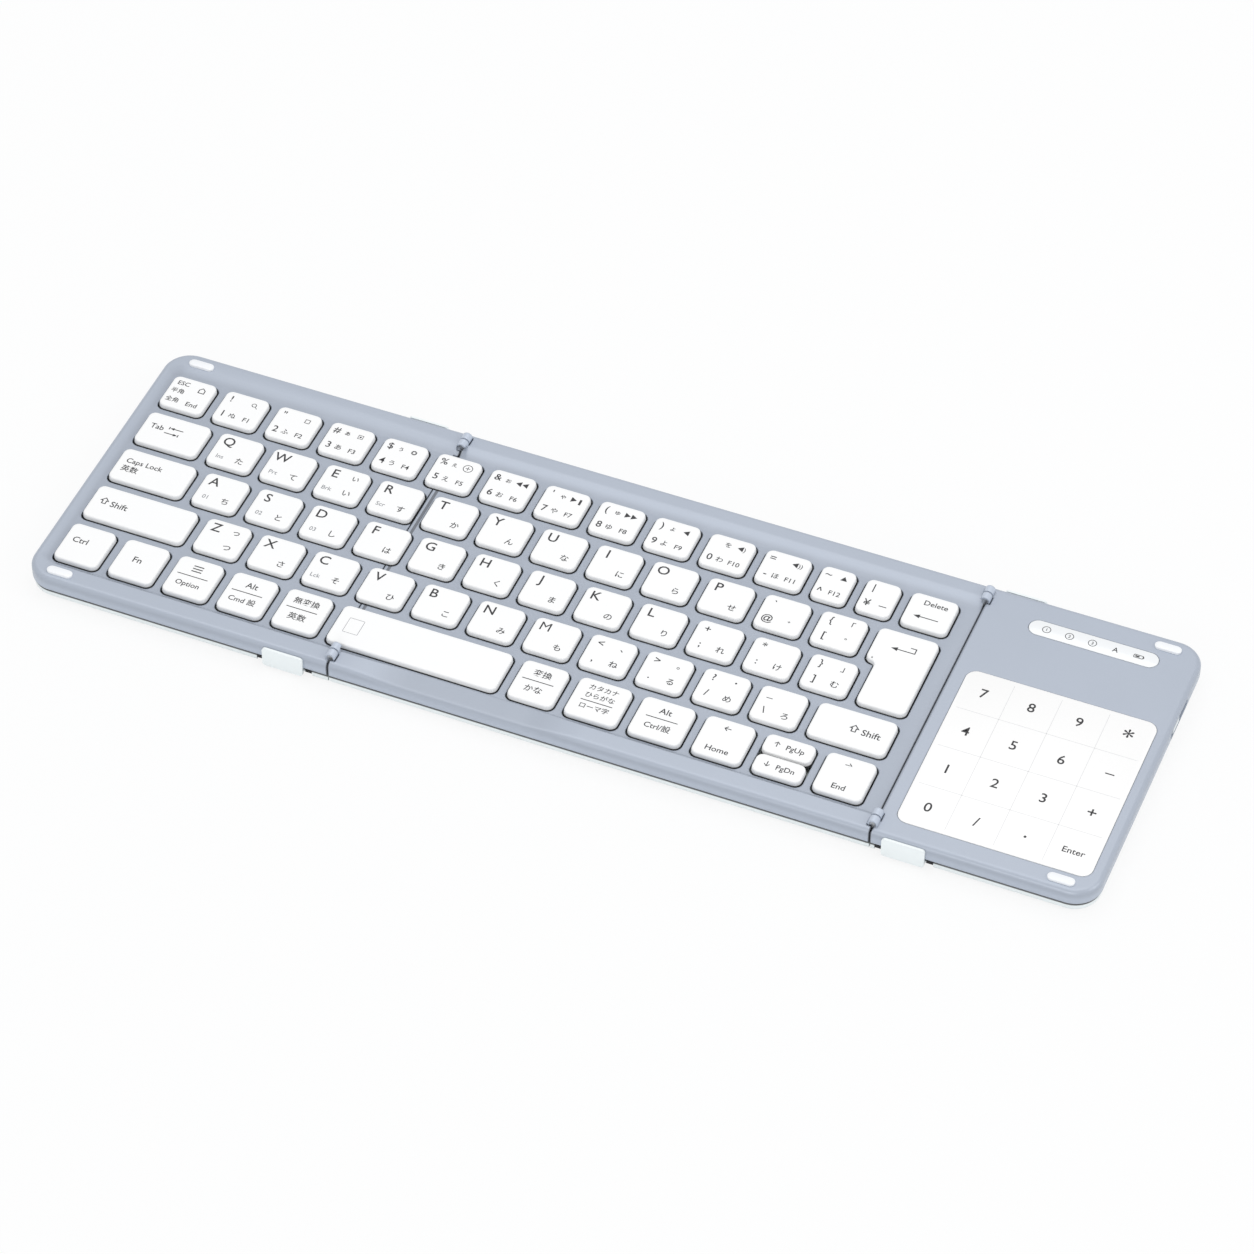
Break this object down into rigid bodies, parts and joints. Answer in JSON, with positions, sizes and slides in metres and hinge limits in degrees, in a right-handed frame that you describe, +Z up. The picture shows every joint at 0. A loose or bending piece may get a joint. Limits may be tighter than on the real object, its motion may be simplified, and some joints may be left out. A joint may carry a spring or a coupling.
{
  "type": "tri-fold keyboard",
  "caption": "Tri-fold compact keyboard with white keys, a grey deck and a numeric touchpad on its right panel.",
  "frame": {"origin": "centre of the footprint on the table, under the unfolded keyboard", "axes": "+X to the right along the rows of keys, +Y from the front edge to the back edge, +Z up"},
  "size_m": [0.3126, 0.0994, 0.0099],
  "materials": {
    "case_plastic": "satin",
    "white_plastic": "satin",
    "key_plastic": "satin",
    "bright_steel": "satin",
    "film": "satin",
    "pale_rubber": "matte",
    "pad_surface": "satin",
    "window_plastic": "gloss",
    "circuit_board": "satin",
    "battery_foil": "satin"
  },
  "bodies": {
    "centre_panel": {"centre_case": "case_plastic", "centre_cover": "white_plastic", "centre_plate": "bright_steel", "centre_membrane": "film", "centre_domes": "pale_rubber", "centre_scissors": "white_plastic", "centre_screws": "bright_steel", "centre_feet": "pale_rubber", "left_hinge_pins": "bright_steel", "right_hinge_pins": "bright_steel"},
    "left_panel": {"left_case": "case_plastic", "left_cover": "white_plastic", "left_plate": "bright_steel", "left_membrane": "film", "left_domes": "pale_rubber", "left_scissors": "white_plastic", "left_screws": "bright_steel", "left_feet": "pale_rubber", "left_bumpers": "pale_rubber"},
    "right_panel": {"right_case": "case_plastic", "right_cover": "white_plastic", "right_screws": "bright_steel", "right_feet": "pale_rubber", "right_bumpers": "pale_rubber", "touchpad": "pad_surface", "touchpad_board": "circuit_board", "indicator_window": "window_plastic", "main_board": "circuit_board", "battery": "battery_foil", "usb_socket": "bright_steel"},
    "keys_number_left_body": {"keys_number_left": "key_plastic"},
    "keys_upper_left_body": {"keys_upper_left": "key_plastic"},
    "keys_home_left_body": {"keys_home_left": "key_plastic"},
    "keys_lower_left_body": {"keys_lower_left": "key_plastic"},
    "key_tab_body": {"key_tab": "key_plastic"},
    "key_caps_lock_body": {"key_caps_lock": "key_plastic"},
    "key_left_shift_body": {"key_left_shift": "key_plastic"},
    "key_ctrl_body": {"key_ctrl": "key_plastic"},
    "key_fn_body": {"key_fn": "key_plastic"},
    "key_system_body": {"key_system": "key_plastic"},
    "key_left_alt_body": {"key_left_alt": "key_plastic"},
    "key_non_convert_body": {"key_non_convert": "key_plastic"},
    "keys_number_centre_body": {"keys_number_centre": "key_plastic"},
    "keys_upper_centre_body": {"keys_upper_centre": "key_plastic"},
    "keys_home_centre_body": {"keys_home_centre": "key_plastic"},
    "keys_lower_centre_body": {"keys_lower_centre": "key_plastic"},
    "key_delete_body": {"key_delete": "key_plastic"},
    "key_enter_body": {"key_enter": "key_plastic"},
    "key_right_shift_body": {"key_right_shift": "key_plastic"},
    "key_space_body": {"key_space": "key_plastic"},
    "key_convert_body": {"key_convert": "key_plastic"},
    "key_kana_body": {"key_kana": "key_plastic"},
    "key_right_alt_body": {"key_right_alt": "key_plastic"},
    "key_home_body": {"key_home": "key_plastic"},
    "key_page_up_body": {"key_page_up": "key_plastic"},
    "key_page_down_body": {"key_page_down": "key_plastic"},
    "key_end_body": {"key_end": "key_plastic"},
    "switch_slider": {"power_switch": "white_plastic"},
    "left_stand_body": {"left_stand": "white_plastic"},
    "right_stand_body": {"right_stand": "white_plastic"}
  },
  "joints": [
    {"name": "left_fold", "type": "hinge", "parent": "centre_panel", "child": "left_panel", "pos_m": [-0.06338, 0, 0.0085], "axis": [0, 1, 0], "range_deg": [0, 180]},
    {"name": "right_fold", "type": "hinge", "parent": "centre_panel", "child": "right_panel", "pos_m": [0.09388, 0, 0.0085], "axis": [0, -1, 0], "range_deg": [0, 180]},
    {"name": "keys_number_left_travel", "type": "slide", "parent": "left_panel", "child": "keys_number_left_body", "axis": [0, 0, -1], "range_m": [0, 0.0015], "stiffness_N_per_m": 1500},
    {"name": "keys_upper_left_travel", "type": "slide", "parent": "left_panel", "child": "keys_upper_left_body", "axis": [0, 0, -1], "range_m": [0, 0.0015], "stiffness_N_per_m": 1200},
    {"name": "keys_home_left_travel", "type": "slide", "parent": "left_panel", "child": "keys_home_left_body", "axis": [0, 0, -1], "range_m": [0, 0.0015], "stiffness_N_per_m": 1200},
    {"name": "keys_lower_left_travel", "type": "slide", "parent": "left_panel", "child": "keys_lower_left_body", "axis": [0, 0, -1], "range_m": [0, 0.0015], "stiffness_N_per_m": 900},
    {"name": "key_tab_travel", "type": "slide", "parent": "left_panel", "child": "key_tab_body", "axis": [0, 0, -1], "range_m": [0, 0.0015], "stiffness_N_per_m": 300},
    {"name": "key_caps_lock_travel", "type": "slide", "parent": "left_panel", "child": "key_caps_lock_body", "axis": [0, 0, -1], "range_m": [0, 0.0015], "stiffness_N_per_m": 300},
    {"name": "key_left_shift_travel", "type": "slide", "parent": "left_panel", "child": "key_left_shift_body", "axis": [0, 0, -1], "range_m": [0, 0.0015], "stiffness_N_per_m": 300},
    {"name": "key_ctrl_travel", "type": "slide", "parent": "left_panel", "child": "key_ctrl_body", "axis": [0, 0, -1], "range_m": [0, 0.0015], "stiffness_N_per_m": 300},
    {"name": "key_fn_travel", "type": "slide", "parent": "left_panel", "child": "key_fn_body", "axis": [0, 0, -1], "range_m": [0, 0.0015], "stiffness_N_per_m": 300},
    {"name": "key_system_travel", "type": "slide", "parent": "left_panel", "child": "key_system_body", "axis": [0, 0, -1], "range_m": [0, 0.0015], "stiffness_N_per_m": 300},
    {"name": "key_left_alt_travel", "type": "slide", "parent": "left_panel", "child": "key_left_alt_body", "axis": [0, 0, -1], "range_m": [0, 0.0015], "stiffness_N_per_m": 300},
    {"name": "key_non_convert_travel", "type": "slide", "parent": "left_panel", "child": "key_non_convert_body", "axis": [0, 0, -1], "range_m": [0, 0.0015], "stiffness_N_per_m": 300},
    {"name": "keys_number_centre_travel", "type": "slide", "parent": "centre_panel", "child": "keys_number_centre_body", "axis": [0, 0, -1], "range_m": [0, 0.0015], "stiffness_N_per_m": 2700},
    {"name": "keys_upper_centre_travel", "type": "slide", "parent": "centre_panel", "child": "keys_upper_centre_body", "axis": [0, 0, -1], "range_m": [0, 0.0015], "stiffness_N_per_m": 2400},
    {"name": "keys_home_centre_travel", "type": "slide", "parent": "centre_panel", "child": "keys_home_centre_body", "axis": [0, 0, -1], "range_m": [0, 0.0015], "stiffness_N_per_m": 2400},
    {"name": "keys_lower_centre_travel", "type": "slide", "parent": "centre_panel", "child": "keys_lower_centre_body", "axis": [0, 0, -1], "range_m": [0, 0.0015], "stiffness_N_per_m": 2400},
    {"name": "key_delete_travel", "type": "slide", "parent": "centre_panel", "child": "key_delete_body", "axis": [0, 0, -1], "range_m": [0, 0.0015], "stiffness_N_per_m": 300},
    {"name": "key_enter_travel", "type": "slide", "parent": "centre_panel", "child": "key_enter_body", "axis": [0, 0, -1], "range_m": [0, 0.0015], "stiffness_N_per_m": 300},
    {"name": "key_right_shift_travel", "type": "slide", "parent": "centre_panel", "child": "key_right_shift_body", "axis": [0, 0, -1], "range_m": [0, 0.0015], "stiffness_N_per_m": 300},
    {"name": "key_space_travel", "type": "slide", "parent": "centre_panel", "child": "key_space_body", "axis": [0, 0, -1], "range_m": [0, 0.0015], "stiffness_N_per_m": 300},
    {"name": "key_convert_travel", "type": "slide", "parent": "centre_panel", "child": "key_convert_body", "axis": [0, 0, -1], "range_m": [0, 0.0015], "stiffness_N_per_m": 300},
    {"name": "key_kana_travel", "type": "slide", "parent": "centre_panel", "child": "key_kana_body", "axis": [0, 0, -1], "range_m": [0, 0.0015], "stiffness_N_per_m": 300},
    {"name": "key_right_alt_travel", "type": "slide", "parent": "centre_panel", "child": "key_right_alt_body", "axis": [0, 0, -1], "range_m": [0, 0.0015], "stiffness_N_per_m": 300},
    {"name": "key_home_travel", "type": "slide", "parent": "centre_panel", "child": "key_home_body", "axis": [0, 0, -1], "range_m": [0, 0.0015], "stiffness_N_per_m": 300},
    {"name": "key_page_up_travel", "type": "slide", "parent": "centre_panel", "child": "key_page_up_body", "axis": [0, 0, -1], "range_m": [0, 0.0015], "stiffness_N_per_m": 300},
    {"name": "key_page_down_travel", "type": "slide", "parent": "centre_panel", "child": "key_page_down_body", "axis": [0, 0, -1], "range_m": [0, 0.0015], "stiffness_N_per_m": 300},
    {"name": "key_end_travel", "type": "slide", "parent": "centre_panel", "child": "key_end_body", "axis": [0, 0, -1], "range_m": [0, 0.0015], "stiffness_N_per_m": 300},
    {"name": "power_slide", "type": "slide", "parent": "right_panel", "child": "switch_slider", "axis": [0, 1, 0], "range_m": [0, 0.0045]},
    {"name": "left_stand_swing", "type": "hinge", "parent": "left_panel", "child": "left_stand_body", "pos_m": [-0.08088, 0, 0.0044], "axis": [0, 1, 0], "range_deg": [0, 60]},
    {"name": "right_stand_swing", "type": "hinge", "parent": "right_panel", "child": "right_stand_body", "pos_m": [0.10778, 0, 0.0044], "axis": [0, -1, 0], "range_deg": [0, 60]}
  ]
}
